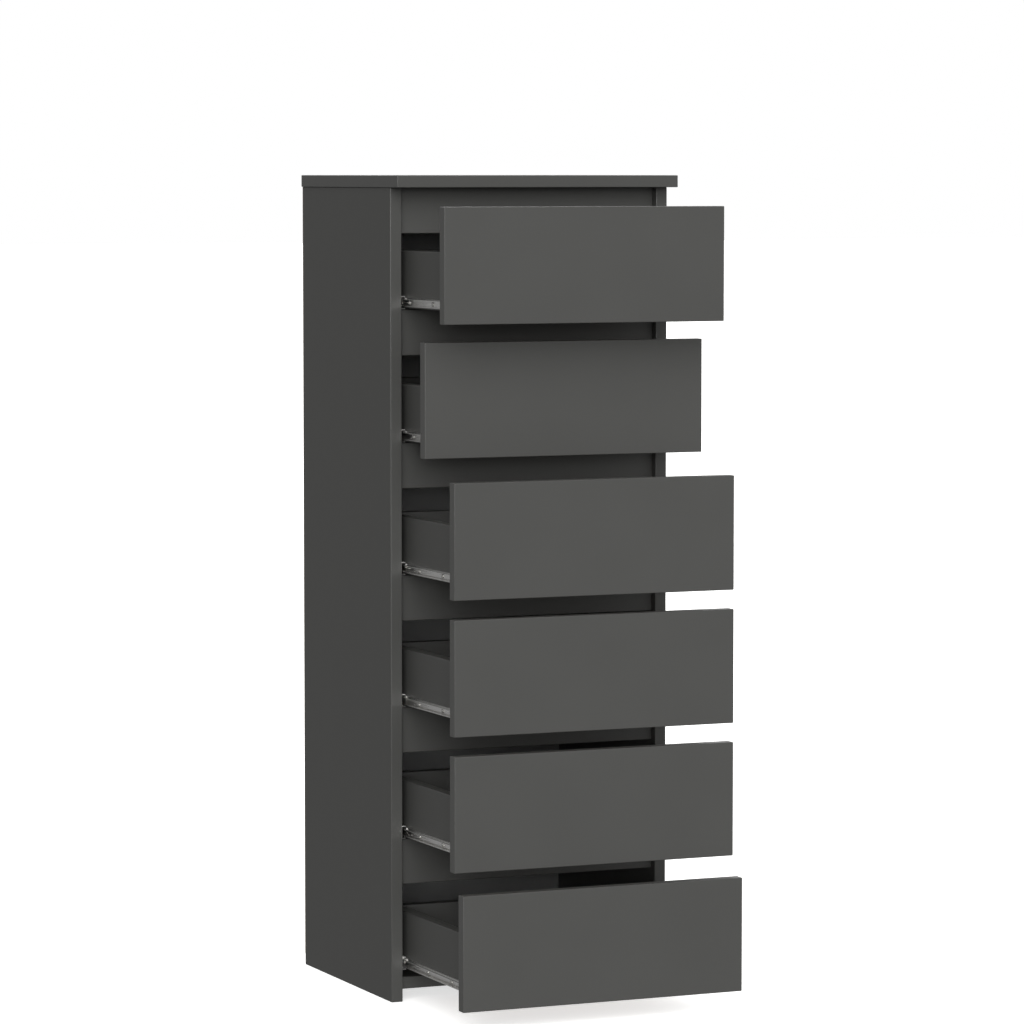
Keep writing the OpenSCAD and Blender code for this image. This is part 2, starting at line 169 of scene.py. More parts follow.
class ChestFinishes(bpy.types.PropertyGroup):
    """Colours of the chest's real finishes."""

    melamine: colour("Melamine", "#464644", "Graphite melamine paper on the chipboard's faces")
    # The band's colour is a shade paler than the melamine's: a painted highlight on the edges
    edge_band: colour("Edge band", "#484846", "Graphite ABS band on the chipboard's edges")
    chipboard: colour("Chipboard", "#a98a62", "Wood particles in a raw edge or a drilled hole")
    # The lacquer's grey is set paler than the real dark lacquer's, as painted light for the chest's inside
    hardboard_lacquer_and_painted_light: colour("Hardboard lacquer", "#868686", "Lacquered side of the hardboard sheets")
    hardboard: colour("Hardboard", "#7c5b3d", "Raw pressed fibre of the hardboard sheets")
    zinc_strip: colour("Zinc-plated strip", "#f1f0ee", "Bright zinc plating of the runners")
    zinc_screw: colour("Zinc-plated screw", "#bdbcb8", "Passivated zinc plating of screws, bolts and nails")
    zinc_casting: colour("Zinc casting", "#a3a5a6", "Tumbled die-cast zinc of the cams")
    beech: colour("Beech", "#d3ae7c", "Turned beech of the dowels")


class ChestDetails(bpy.types.PropertyGroup):
    """Sizes of the details that the packed model leaves plain."""

    board_arris: length("Board arris", 1.0, "Radius milled on the edge bands")
    seam: length("Seam", 0.12, "Depth of the hairline between an edge band and the board's face")
    sheet_arris: length("Sheet arris", 0.25, "Radius on the edges of the hardboard sheets")
    arris_steps: IntProperty(
        name="Arris steps", description="Facets in a quarter round", default=4, min=1, max=8)
    pocket_slack: length("Pocket slack", 0.1, "Air between a fitting and its pocket")
    cam_sink: length("Cam sink", 0.2, "How far a cam lies under the board's face")
    groove_slack: length("Groove slack", 0.2, "Air around a hardboard sheet in its groove")
    driver_depth: length("Driver recess", 1.1, "Depth of the cross in a screw head")


class ChestStage(bpy.types.PropertyGroup):
    """The floor, the lights and the camera."""

    floor: colour("Floor", "#f4f4f2", "Opal acrylic of the light table that the chest stands on")
    floor_glow: amount("Floor glow", 0.65, "Brightness that the light table adds to the floor")
    backdrop: colour("Backdrop", "#ffffff", "What the camera sees past the floor")
    ambient: amount("Ambient", 0.265, "Strength of the light from all round")
    key: amount("Key", 2.58, "Strength of the light over the camera, in W/m2")
    level: amount("Level", 0.6, "Strength of the light beside the camera, in W/m2")
    fill: amount("Fill", 0.15, "Strength of the light in front, right, in W/m2")
    side: amount("Side", 1.3, "Strength of the light on the right, in W/m2")
    rear: amount("Rear", 1.4, "Strength of the light behind, in W/m2")
    lens: FloatProperty(
        name="Lens", description="Focal length in millimetres", subtype="DISTANCE_CAMERA",
        default=160.07, min=1)
    distance: length("Distance", 6076, "From the camera to the chest's upright axis, over the floor")
    height: length("Camera height", 1096, "Height of the camera above the floor")
    bearing: turn("Bearing", 23.56, "Where the camera stands, round from the front towards the left")
    heading: turn("Heading", 23.49, "Where the camera looks, from straight back towards the right")
    dip: turn("Dip", 4.273, "How far the camera looks down")


# ---- Solids of the packed model ----

def solids(node):
    """Lowest and highest corners of each separate solid of a node, from the connected parts of its mesh."""
    mesh = frame["nodes"][node].data
    points = np.empty(len(mesh.vertices) * 3)
    mesh.vertices.foreach_get("co", points)
    corners = np.empty(len(mesh.loops), int)
    mesh.loops.foreach_get("vertex_index", corners)
    welded, which = np.unique(np.round(points.reshape(-1, 3) / SAME_POINT), axis=0, return_inverse=True)
    triangles = which.ravel()[corners].reshape(-1, 3)
    label = np.arange(len(welded))
    before = None
    while before is None or (label != before).any():
        before = label.copy()
        lowest = label[triangles].min(1)
        np.minimum.at(label, triangles.ravel(), np.repeat(lowest, 3))
    welded *= SAME_POINT
    return [(welded[label == name].min(0), welded[label == name].max(0)) for name in np.unique(label)]


def axis_way(axis, sign=1):
    """The unit vector along an axis, forwards or backwards."""
    way = np.zeros(3)
    way[axis] = sign
    return way


def inward(box):
    """+1 or -1 along X, from a solid towards the chest's middle."""
    return -np.sign(box[0][X] + box[1][X])


def cam_way(box):
    """Which way a cam's slotted end faces: its depth is its shortest side."""
    axis = int(np.argmin(box[1] - box[0]))
    return axis, {X: inward(box), Y: 1, Z: -1}[axis]


# ---- Surfaces ----

def across(way):
    """Two unit vectors that make a right-handed set with an axis's unit vector."""
    axis = int(np.argmax(np.abs(way)))
    first, second = axis_way((axis + 1) % 3), axis_way((axis + 2) % 3)
    return (first, second) if way[axis] > 0 else (second, first)


def ring(at, way, radius, count=ROUND_CORNERS):
    """Points of a circle about a point: at + radius * (cos a * first + sin a * second)."""
    angle = (np.arange(count) + 0.5) * 2 * math.pi / count
    first, second = across(way)
    return at + radius * (np.outer(np.cos(angle), first) + np.outer(np.sin(angle), second))


def cross_ring(at, way, reach, half_width):
    """The twelve corners of a cross, which is four arms of one reach and one width."""
    arm = np.array([[reach, -half_width], [reach, half_width], [half_width, half_width]])
    quarter = np.array([[0, 1], [-1, 0]])
    flat = np.concatenate([arm @ np.linalg.matrix_power(quarter, turn) for turn in range(4)])
    return at + flat @ np.array(across(way))


def round_pocket(at, way, radius, depth, floor_radius=None):
    """A round hole's mouth and floor, sunk into the face that looks along way."""
    floor = ring(at - depth * way, way, floor_radius or radius)
    return {"way": way, "mouth": ring(at, way, radius), "floor": floor, "slot": RAW}


def slot_pocket(at, way, half_first, half_second, depth):
    """An oblong slot's mouth and floor, given by its half sizes along across(way)."""
    flat = np.array([[1, -1], [1, 1], [-1, 1], [-1, -1]]) * [half_first, half_second]
    mouth = at + flat @ np.array(across(way))
    return {"way": way, "mouth": mouth, "floor": mouth - depth * way, "slot": RAW}


class Outline:
    """A closed outline with rounded corners, anticlockwise.

    A corner of radius r is an arc about a centre set in from it, so a point of it is centre + r * normal.
    Drawn in by e, that point is centre + (r - e) * normal while e < r, and then follows the corner's mitre.
    """

    def __init__(self, corners, radii, slots, steps):
        corners = np.asarray(corners, float)
        radii = np.broadcast_to(radii, len(corners))
        ahead = np.roll(corners, -1, 0) - corners
        ahead /= np.linalg.norm(ahead, axis=1)[:, None]
        after = np.stack([ahead[:, 1], -ahead[:, 0]], 1)
        before = np.roll(after, 1, 0)
        mitre = (before + after) / (1 + (before * after).sum(1))[:, None]
        angle = np.linspace(0, math.pi / 2, steps + 1)[None, :, None]
        normal = np.cos(angle) * before[:, None] + np.sin(angle) * after[:, None]
        self.normal = normal.reshape(-1, 2)
        self.mitre = np.repeat(mitre, steps + 1, 0)
        self.radius = np.repeat(radii, steps + 1)[:, None]
        self.centre = np.repeat(corners, steps + 1, 0) - self.radius * self.mitre
        side = np.array(slots)
        corner = np.where((side == BAND) | (np.roll(side, 1) == BAND), BAND, np.roll(side, 1))
        self.slots = np.repeat(corner, steps + 1)
        self.slots[steps::steps + 1] = side
        self.straight = np.zeros(len(self.slots), bool)
        self.straight[steps::steps + 1] = True

    def drawn_in(self, by):
        """The outline's points, drawn in by a distance."""
        rounded = np.maximum(self.radius - by, 0) * self.normal
        return self.centre + rounded - np.maximum(by - self.radius, 0) * self.mitre


class Circle(Outline):
    """A round outline about a centre."""

    def __init__(self, centre, radius, slot, count):
        angle = np.arange(count) * 2 * math.pi / count
        self.normal = np.stack([np.cos(angle), np.sin(angle)], 1)
        self.mitre = np.zeros((count, 2))
        self.radius = np.full((count, 1), radius)
        self.centre = np.broadcast_to(centre, (count, 2))
        self.slots = np.full(count, slot)
        self.straight = np.zeros(count, bool)


class Surface:
    """Patches of surface that together close one piece."""

    def __init__(self):
        self.points = []
        self.faces = []
        self.slots = []
        self.smooth = []
        self.count = 0

    def patch(self, points, faces, slots, smooth):
        """Adds points, faces as rows of indices, and each face's slot and shading."""
        faces = np.asarray(faces)
        self.points.append(points)
        self.faces += (faces + self.count).tolist()
        self.slots += np.broadcast_to(slots, len(faces)).tolist()
        self.smooth += np.broadcast_to(smooth, len(faces)).tolist()
        self.count += len(points)

    def flat_face(self, edge, way, pockets, slot):
        """A flat face inside an edge, with the pockets whose mouths lie on it."""
        first, second = across(way)
        low, high = edge.min(0) - ON_FACE, edge.max(0) + ON_FACE
        facing = [p for p in pockets if p["way"] @ way > 0.5]
        mine = [p for p in facing if (p["mouth"] > low).all() and (p["mouth"] < high).all()]
        loops = [edge] + [p["mouth"] for p in mine]
        points = np.concatenate(loops)
        flat = np.stack([points @ first, points @ second], 1)
        ends = np.cumsum([len(loop) for loop in loops])[:-1]
        parts = [list(map(Vector, part.tolist())) for part in np.split(np.insert(flat, 2, 0, 1), ends)]
        triangles = np.array(tessellate_polygon(parts))
        a, b, c = (flat[triangles[:, i]] for i in range(3))
        turned = (b - a)[:, 0] * (c - a)[:, 1] - (b - a)[:, 1] * (c - a)[:, 0] < 0
        triangles[turned] = triangles[turned][:, ::-1]
        self.patch(points, triangles, slot, False)
        for pocket in mine:
            self.pocket(pocket)

    def pocket(self, pocket):
        """A pocket's wall, from its mouth down to its floor, and the floor."""
        count = len(pocket["mouth"])
        here = np.arange(count)
        after = (here + 1) % count
        wall = np.stack([here, after, after + count, here + count], 1)
        rims = np.concatenate([pocket["mouth"], pocket["floor"]])
        self.patch(rims, wall, pocket["slot"], count > SMOOTH_MOUTH)
        self.patch(pocket["floor"], [here], pocket["slot"], False)

    def carried(self, outline, axis, insets, places, pockets=(), ends=(FACE, FACE), end_slot=None):
        """An outline carried along an axis: row i is the outline drawn in by insets[i], at places[i].

        The longest step between two rows is the main one, whose straight sides may hold pockets. The other
        steps take end_slot, if it is given.
        """
        first, second = across(axis_way(axis))
        rows = np.stack([outline.drawn_in(inset) for inset in insets])
        points = (rows[..., :1] * first + rows[..., 1:] * second
                  + np.asarray(places)[:, None, None] * axis_way(axis))
        count = rows.shape[1]
        row, here = np.meshgrid(np.arange(len(insets) - 1), np.arange(count), indexing="ij")
        after = (here + 1) % count
        quads = np.stack([row * count + here, row * count + after,
                          (row + 1) * count + after, (row + 1) * count + here], -1)
        main = int(np.argmax(np.diff(places)))
        slots = np.broadcast_to(outline.slots, row.shape).copy()
        if end_slot is not None:
            slots[row != main] = end_slot
        smooth = ~(outline.straight[None, :] & (row == main))
        keep = np.ones(row.shape, bool)
        keep[main, outline.straight] = False
        self.patch(points.reshape(-1, 3), quads[keep], slots[keep], smooth[keep])
        for side in np.flatnonzero(outline.straight):
            a, b = side, (side + 1) % count
            edge = np.stack([points[main, a], points[main, b], points[main + 1, b], points[main + 1, a]])
            normal = outline.normal[a, 0] * first + outline.normal[a, 1] * second
            self.flat_face(edge, np.round(normal), pockets, slots[main, side])
        for last, sign, slot in ((0, -1, ends[0]), (-1, 1, ends[1])):
            edge = points[last]
            distinct = np.linalg.norm(edge - np.roll(edge, 1, 0), axis=1) > SAME_CORNER
            edge = edge[distinct][::sign]
            self.flat_face(edge, axis_way(axis, sign), pockets, slot)

    def piece(self, name, finishes):
        """The welded mesh as an object."""
        mesh = bpy.data.meshes.new(name)
        mesh.from_pydata(np.concatenate(self.points).tolist(), [], self.faces)
        mesh.polygons.foreach_set("material_index", self.slots)
        mesh.polygons.foreach_set("use_smooth", self.smooth)
        welded = bmesh.new()
        welded.from_mesh(mesh)
        bmesh.ops.remove_doubles(welded, verts=welded.verts, dist=WELD)
        welded.to_mesh(mesh)
        welded.free()
        for finish in finishes:
            mesh.materials.append(finish)
        piece = bpy.data.objects.new(name, mesh)
        bpy.context.scene.collection.objects.link(piece)
        return piece


def rounding(radius, steps, seam=0):
    """How far an end's rows are drawn in and how deep they lie: a quarter round, then a V-shaped seam."""
    angle = np.linspace(0, math.pi / 2, steps + 1)
    insets = radius * (1 - np.cos(angle))
    depths = radius * (1 - np.sin(angle))
    if seam:
        insets = np.append(insets, [radius + seam, radius + 2 * seam])
        depths = np.append(depths, [seam, 0])
    return insets, depths


def add_board(surface, box, axis, raw_sides=(), pockets=(), ends=(FACE, FACE), radius=None, seam=None):
    """A board carried through its thickness: banded but for its raw sides, with milled arrises."""
    details = bpy.context.scene.chest_details
    radius = details.board_arris if radius is None else radius
    seam = details.seam if seam is None else seam
    low, high = box
    u, v = (axis + 1) % 3, (axis + 2) % 3
    corners = [[low[u], low[v]], [high[u], low[v]], [high[u], high[v]], [low[u], high[v]]]
    sides = [(v, -1), (u, 1), (v, 1), (u, -1)]
    slots = [RAW if side in raw_sides else BAND for side in sides]
    edge = Outline(corners, radius, slots, details.arris_steps)
    insets, depths = rounding(radius, details.arris_steps, seam)
    places = np.concatenate([(low[axis] + depths)[::-1], high[axis] - depths])
    surface.carried(edge, axis, np.concatenate([insets[::-1], insets]), places, pockets, ends, BAND)


def cam_pockets(box, cams):
    """Pockets for the cams that lie in a board."""
    details = bpy.context.scene.chest_details
    low, high = np.array(box[0]) - details.pocket_slack, np.array(box[1]) + details.pocket_slack
    pockets = []
    for cam in cams:
        if (cam[0] > low).all() and (cam[1] < high).all():
            axis, sign = cam_way(cam)
            at = (cam[0] + cam[1]) / 2
            at[axis] = box[1][axis] if sign > 0 else box[0][axis]
            radius = (cam[1] - cam[0]).max() / 2 + details.pocket_slack
            depth = (cam[1] - cam[0]).min() + details.pocket_slack
            pockets.append(round_pocket(at, axis_way(axis, sign), radius, depth))
    return pockets


def node_box(node):
    """A node's lowest and highest corners, as arrays."""
    return tuple(np.array(corner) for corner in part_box(node))


def show(piece, body, slot, *nodes):
    """Puts a finished piece on its body, in place of its nodes."""
    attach(piece, body)
    if nodes:
        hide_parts(*nodes)


def refinish(node, finish):
    """Gives a node of the packed model its finish."""
    materials = frame["nodes"][node].data.materials
    materials.clear()
    materials.append(finish)


# ---- Finishes ----

def add(tree, kind, inputs=None, **settings):
    """Adds a node, with its settings, and with values or other nodes' outputs on its inputs."""
    node = tree.nodes.new("ShaderNode" + kind)
    for name, value in settings.items():
        setattr(node, name, value)
    for name, value in (inputs or {}).items():
        if isinstance(value, bpy.types.NodeSocket):
            tree.links.new(value, node.inputs[name])
        else:
            node.inputs[name].default_value = value
    return node


def finish_tree(name):
    """A new material, its emptied node tree, and the object coordinates in it."""
    material = bpy.data.materials.new(name)
    material.use_nodes = True
    material.node_tree.nodes.clear()
    place = add(material.node_tree, "TexCoord").outputs["Object"]
    return material, material.node_tree, place


def close_tree(tree, inputs, bump=None):
    """A material's shader and output, with an optional bump of (height, depth in metres, strength)."""
    shader = add(tree, "BsdfPrincipled", inputs)
    if bump:
        height, depth, strength = bump
        normal = add(tree, "Bump", {"Height": height, "Distance": depth, "Strength": strength})
        tree.links.new(normal.outputs["Normal"], shader.inputs["Normal"])
    add(tree, "OutputMaterial", {"Surface": shader.outputs["BSDF"]})


def shade(base, factor):
    """A colour made lighter or darker, with its alpha."""
    return tuple(value * factor for value in base) + (1.0,)


def per_metre(millimetres):
    """The scale of a pattern whose features are this many millimetres apart."""
    return 1 / (millimetres * MM)


def once(make):
    """Makes a finish the first time that it is asked for, and returns the same material after that."""
    made = {}

    def finish():
        if "it" not in made:
            made["it"] = make()
        return made["it"]

    finish.__doc__ = make.__doc__
    return finish


@once
def graphite_melamine():
    """Resin-soaked decor paper, pressed on chipboard against a finely pitted plate."""
    # To the eye: a flat, even graphite that is matt and faintly dry, with soft, wide highlights.
    # The plate's pits are about 0.4 mm apart, and are drawn 1.5 mm apart so that they show.
    base = bpy.context.scene.chest_finishes.melamine
    material, tree, place = finish_tree("graphite_melamine")
    pits = add(tree, "TexNoise", {
        "Vector": place, "Scale": per_metre(1.5), "Detail": 3.0, "Roughness": 0.6})
    cloud = add(tree, "TexNoise", {"Vector": place, "Scale": per_metre(90), "Detail": 2.0})
    both = add(tree, "Math", {0: pits.outputs["Fac"], 1: cloud.outputs["Fac"]}, operation="ADD")
    tint = add(tree, "ValToRGB", {"Fac": add(
        tree, "MapRange", {"Value": both.outputs[0], "From Min": 0.6, "From Max": 1.4}).outputs["Result"]})
    tint.color_ramp.elements[0].color = shade(base, 0.965)
    tint.color_ramp.elements[1].color = shade(base, 1.035)
    matt = add(tree, "MapRange", {"Value": cloud.outputs["Fac"], "To Min": 0.50, "To Max": 0.60})
    close_tree(tree, {
        "Base Color": tint.outputs["Color"], "Roughness": matt.outputs["Result"], "IOR": 1.5,
    }, (pits.outputs["Fac"], 0.03 * MM, 0.5))
    return material


@once
def graphite_edge_band():
    """ABS band glued on the board's edges, milled flush, and buffed."""
    # To the eye: the same graphite, a little smoother and silkier than the faces, with fine scraper marks.
    # Its colour is set a shade paler than the faces' as a painted highlight on the edges.
    # The marks are about 0.2 mm apart, and are drawn 0.8 mm apart.
    base = bpy.context.scene.chest_finishes.edge_band
    material, tree, place = finish_tree("graphite_edge_band")
    marks = add(tree, "TexNoise", {"Vector": place, "Scale": per_metre(0.8), "Detail": 2.0})
    cloud = add(tree, "TexNoise", {"Vector": place, "Scale": per_metre(60), "Detail": 2.0})
    tint = add(tree, "ValToRGB", {"Fac": cloud.outputs["Fac"]})
    tint.color_ramp.elements[0].color = shade(base, 0.96)
    tint.color_ramp.elements[1].color = shade(base, 1.04)
    silk = add(tree, "MapRange", {"Value": marks.outputs["Fac"], "To Min": 0.34, "To Max": 0.46})
    close_tree(tree, {
        "Base Color": tint.outputs["Color"], "Roughness": silk.outputs["Result"], "IOR": 1.52,
    }, (marks.outputs["Fac"], 0.01 * MM, 0.4))
    return material


@once
def raw_chipboard():
    """Pressed wood particles, as sawn or drilled."""
    # To the eye: straw and brown flakes of 1 to 4 mm with dark gaps between them, rough and dull.
    base = bpy.context.scene.chest_finishes.chipboard
    material, tree, place = finish_tree("raw_chipboard")
    bent = add(tree, "TexNoise", {"Vector": place, "Scale": per_metre(3), "Detail": 2.0})
    flakes = add(tree, "TexVoronoi", {"Vector": add(
        tree, "VectorMath", {0: place, 1: add(
            tree, "VectorMath", {0: bent.outputs["Color"], "Scale": 2 * MM}, operation="SCALE"
        ).outputs["Vector"]}, operation="ADD").outputs["Vector"], "Scale": per_metre(2.4)})
    tint = add(tree, "ValToRGB", {"Fac": add(
        tree, "SeparateColor", {"Color": flakes.outputs["Color"]}).outputs["Red"]})
    tint.color_ramp.elements[0].color = shade(base, 0.45)
    tint.color_ramp.elements[1].color = shade(base, 1.3)
    close_tree(tree, {"Base Color": tint.outputs["Color"], "Roughness": 0.85}, (
        flakes.outputs["Distance"], 0.3 * MM, 0.6))
    return material


@once
def lacquered_hardboard():
    """Hardboard, rolled with graphite lacquer on its smooth side."""
    # To the eye: satin, with orange peel, 3 mm from bump to bump. Its grey is paler than the boards' as
    # painted light: it is lightened to stand in for the light that reaches the chest's inside.
    base = bpy.context.scene.chest_finishes.hardboard_lacquer_and_painted_light
    material, tree, place = finish_tree("lacquered_hardboard")
    peel = add(tree, "TexNoise", {"Vector": place, "Scale": per_metre(3), "Detail": 2.0})
    cloud = add(tree, "TexNoise", {"Vector": place, "Scale": per_metre(40), "Detail": 3.0})
    tint = add(tree, "ValToRGB", {"Fac": cloud.outputs["Fac"]})
    tint.color_ramp.elements[0].color = shade(base, 0.90)
    tint.color_ramp.elements[1].color = shade(base, 1.10)
    satin = add(tree, "MapRange", {"Value": peel.outputs["Fac"], "To Min": 0.38, "To Max": 0.52})
    close_tree(tree, {"Base Color": tint.outputs["Color"], "Roughness": satin.outputs["Result"]}, (
        peel.outputs["Fac"], 0.05 * MM, 0.5))
    return material


@once
def raw_hardboard():
    """The bare back of hardboard: wood fibre, steamed and pressed hard."""
    # To the eye: tobacco brown, matted from fibres a few millimetres long, with darker and paler specks.
    base = bpy.context.scene.chest_finishes.hardboard
    material, tree, place = finish_tree("raw_hardboard")
    warp = add(tree, "TexNoise", {"Vector": place, "Scale": per_metre(12), "Detail": 2.0})
    bent = add(tree, "VectorMath", {0: place, 1: add(
        tree, "VectorMath", {0: warp.outputs["Color"], "Scale": 12 * MM}, operation="SCALE"
    ).outputs["Vector"]}, operation="ADD").outputs["Vector"]
    fibre = add(tree, "TexNoise", {"Vector": add(
        tree, "Mapping", {"Vector": bent, "Scale": (0.35, 1.0, 1.0)}
    ).outputs["Vector"], "Scale": per_metre(1.6), "Detail": 4.0, "Roughness": 0.7})
    cloud = add(tree, "TexNoise", {"Vector": place, "Scale": per_metre(120), "Detail": 4.0})
    both = add(tree, "Mix", {"Factor": 0.3, "A": fibre.outputs["Fac"], "B": cloud.outputs["Fac"]})
    tint = add(tree, "ValToRGB", {"Fac": both.outputs["Result"]})
    tint.color_ramp.elements[0].position = 0.32
    tint.color_ramp.elements[0].color = shade(base, 0.55)
    tint.color_ramp.elements[1].position = 0.68
    tint.color_ramp.elements[1].color = shade(base, 1.35)
    close_tree(tree, {"Base Color": tint.outputs["Color"], "Roughness": 0.8}, (
        fibre.outputs["Fac"], 0.12 * MM, 0.5))
    return material


@once
def zinc_plated_strip():
    """Cold-rolled steel strip, roll-formed and bright zinc plated."""
    # To the eye: neutral silver, drawn out in fine lines along the runner, with a clouded shine.
    # The rolling lines are about 0.05 mm apart, and are drawn 1 mm apart.
    base = bpy.context.scene.chest_finishes.zinc_strip
    material, tree, place = finish_tree("zinc_plated_strip")
    along = add(tree, "Mapping", {"Vector": place, "Scale": (1.0, 0.02, 1.0)}).outputs["Vector"]
    lines = add(tree, "TexNoise", {"Vector": along, "Scale": per_metre(1), "Detail": 3.0})
    cloud = add(tree, "TexNoise", {"Vector": place, "Scale": per_metre(18), "Detail": 3.0})
    tint = add(tree, "ValToRGB", {"Fac": cloud.outputs["Fac"]})
    tint.color_ramp.elements[0].color = shade(base, 0.90)
    tint.color_ramp.elements[1].color = shade(base, 1.0)
    shine = add(tree, "MapRange", {"Value": lines.outputs["Fac"], "To Min": 0.22, "To Max": 0.36})
    close_tree(tree, {
        "Base Color": tint.outputs["Color"], "Roughness": shine.outputs["Result"], "Metallic": 1.0,
    }, (lines.outputs["Fac"], 0.01 * MM, 0.4))
    return material


@once
def zinc_plated_screw():
    """Cold-headed steel, zinc plated and passivated."""
    # To the eye: soft grey metal with a faint warm and blue bloom, and handling marks.
    base = bpy.context.scene.chest_finishes.zinc_screw
    material, tree, place = finish_tree("zinc_plated_screw")
    bloom = add(tree, "TexNoise", {"Vector": place, "Scale": per_metre(2.5), "Detail": 2.0})
    tint = add(tree, "ValToRGB", {"Fac": bloom.outputs["Fac"]})
    tint.color_ramp.elements[0].color = (base[0] * 0.86, base[1] * 0.88, base[2] * 0.94, 1)
    tint.color_ramp.elements[1].color = (base[0], base[1] * 0.99, base[2] * 0.94, 1)
    worn = add(tree, "MapRange", {"Value": bloom.outputs["Fac"], "To Min": 0.34, "To Max": 0.50})
    close_tree(tree, {
        "Base Color": tint.outputs["Color"], "Roughness": worn.outputs["Result"], "Metallic": 1.0,
    }, (bloom.outputs["Fac"], 0.01 * MM, 0.3))
    return material


@once
def zinc_die_casting():
    """Zinc alloy, die cast and tumbled."""
    # To the eye: dull grey metal with a fine sandy skin. The grain is 0.1 mm, and is drawn at 0.5 mm.
    base = bpy.context.scene.chest_finishes.zinc_casting
    material, tree, place = finish_tree("zinc_die_casting")
    sand = add(tree, "TexNoise", {"Vector": place, "Scale": per_metre(0.5), "Detail": 2.0})
    tint = add(tree, "ValToRGB", {"Fac": sand.outputs["Fac"]})
    tint.color_ramp.elements[0].color = shade(base, 0.80)
    tint.color_ramp.elements[1].color = shade(base, 1.0)
    dull = add(tree, "MapRange", {"Value": sand.outputs["Fac"], "To Min": 0.42, "To Max": 0.6})
    close_tree(tree, {
        "Base Color": tint.outputs["Color"], "Roughness": dull.outputs["Result"], "Metallic": 1.0,
    }, (sand.outputs["Fac"], 0.03 * MM, 0.5))
    return material


@once
def turned_beech():
    """Steamed beech, turned to a rod."""
    # To the eye: pale pinkish tan with short brown flecks, 2 mm long, along the grain, which runs along X.
    base = bpy.context.scene.chest_finishes.beech
    material, tree, place = finish_tree("turned_beech")
    along = add(tree, "Mapping", {"Vector": place, "Scale": (0.25, 1.0, 1.0)}).outputs["Vector"]
    flecks = add(tree, "TexNoise", {"Vector": along, "Scale": per_metre(0.6), "Detail": 3.0})
    tint = add(tree, "ValToRGB", {"Fac": flecks.outputs["Fac"]})
    tint.color_ramp.elements[0].position = 0.35
    tint.color_ramp.elements[0].color = shade(base, 0.70)
    tint.color_ramp.elements[1].position = 0.55
    tint.color_ramp.elements[1].color = shade(base, 1.0)
    close_tree(tree, {"Base Color": tint.outputs["Color"], "Roughness": 0.6}, (
        flecks.outputs["Fac"], 0.05 * MM, 0.4))
    return material


@once
def opal_acrylic():
    """The opal acrylic sheet of a light table, lit from beneath."""
    # To the eye: an even white ground that glows softly, so that the chest's shadow on it stays pale.
    # Its cast surface has ripples 6 mm apart, too low to see but in a gloss.
    stage = bpy.context.scene.chest_stage
    material, tree, place = finish_tree("opal_acrylic")
    ripple = add(tree, "TexNoise", {"Vector": place, "Scale": per_metre(6), "Detail": 1.0})
    tint = add(tree, "ValToRGB", {"Fac": ripple.outputs["Fac"]})
    tint.color_ramp.elements[0].color = shade(stage.floor, 0.995)
    tint.color_ramp.elements[1].color = shade(stage.floor, 1.0)
    close_tree(tree, {
        "Base Color": tint.outputs["Color"], "Roughness": 0.9, "Specular IOR Level": 0.2,
        "Emission Color": (1, 1, 1, 1), "Emission Strength": stage.floor_glow,
    })
    return material


def board_finishes():
    """The three finishes of a board, in the order of FACE, BAND and RAW."""
    return [graphite_melamine(), graphite_edge_band(), raw_chipboard()]


def sheet_finishes():
    """The two sides of a hardboard sheet: lacquered, with FACE, and bare, with BAND and RAW."""
    return [lacquered_hardboard(), raw_hardboard(), raw_hardboard()]


# ---- Carcass ----

class CHEST_OT_side_panels(bpy.types.Operator):
    """Two chipboard sides, banded but for their rear and lower edges, with pockets for the top's cams"""

    bl_idname = "chest.side_panels"
    bl_label = "Side panels"

    def execute(self, context):
        cams = solids("cam_discs")
        for node in ("side_panel_left", "side_panel_right"):
            box = node_box(node)
            surface = Surface()
            add_board(surface, box, X, [(Y, 1), (Z, -1)], cam_pockets(box, cams))
            show(surface.piece(node + "_board", board_finishes()), "carcass", "graphite_board", node)
        return {"FINISHED"}


class CHEST_OT_top_and_bottom(bpy.types.Operator):
    """The top laid over the sides, and the bottom between them with its cams underneath"""

    bl_idname = "chest.top_and_bottom"
    bl_label = "Top and bottom"

    def execute(self, context):
        cams = solids("cam_discs")
        raw_sides = {"top_panel": [(Y, 1)], "bottom_panel": [(Y, 1), (X, -1), (X, 1)]}
        for node, raw in raw_sides.items():
            box = node_box(node)
            surface = Surface()
            add_board(surface, box, Z, raw, cam_pockets(box, cams))
            show(surface.piece(node + "_board", board_finishes()), "carcass", "graphite_board", node)
        return {"FINISHED"}


class CHEST_OT_cross_rails(bpy.types.Operator):
    """Six rails on edge between the sides, one behind each gap, with their cams at the back"""

    bl_idname = "chest.cross_rails"
    bl_label = "Cross rails"

    def execute(self, context):
        cams = solids("cam_discs")
        surface = Surface()
        for box in solids("cross_rails"):
            add_board(surface, box, Y, [(X, -1), (X, 1)], cam_pockets(box, cams))
        rails = surface.piece("cross_rail_boards", board_finishes())
        show(rails, "carcass", "graphite_board", "cross_rails")
        return {"FINISHED"}


def add_sheet(surface, box, axis, ends):
    """A hardboard sheet with softly broken arrises and bare edges."""
    arris = bpy.context.scene.chest_details.sheet_arris
    add_board(surface, box, axis, [(i, sign) for i in (X, Y, Z) for sign in (-1, 1)], (), ends, arris, 0)


class CHEST_OT_back_sheet(bpy.types.Operator):
    """The hardboard back, lacquered inside and bare outside"""

    bl_idname = "chest.back_sheet"
    bl_label = "Back sheet"

    def execute(self, context):
        surface = Surface()
        add_sheet(surface, node_box("back_panel"), Y, (FACE, RAW))
        show(surface.piece("back_sheet", sheet_finishes()), "carcass", "graphite_hardboard", "back_panel")
        return {"FINISHED"}


# ---- Drawers ----

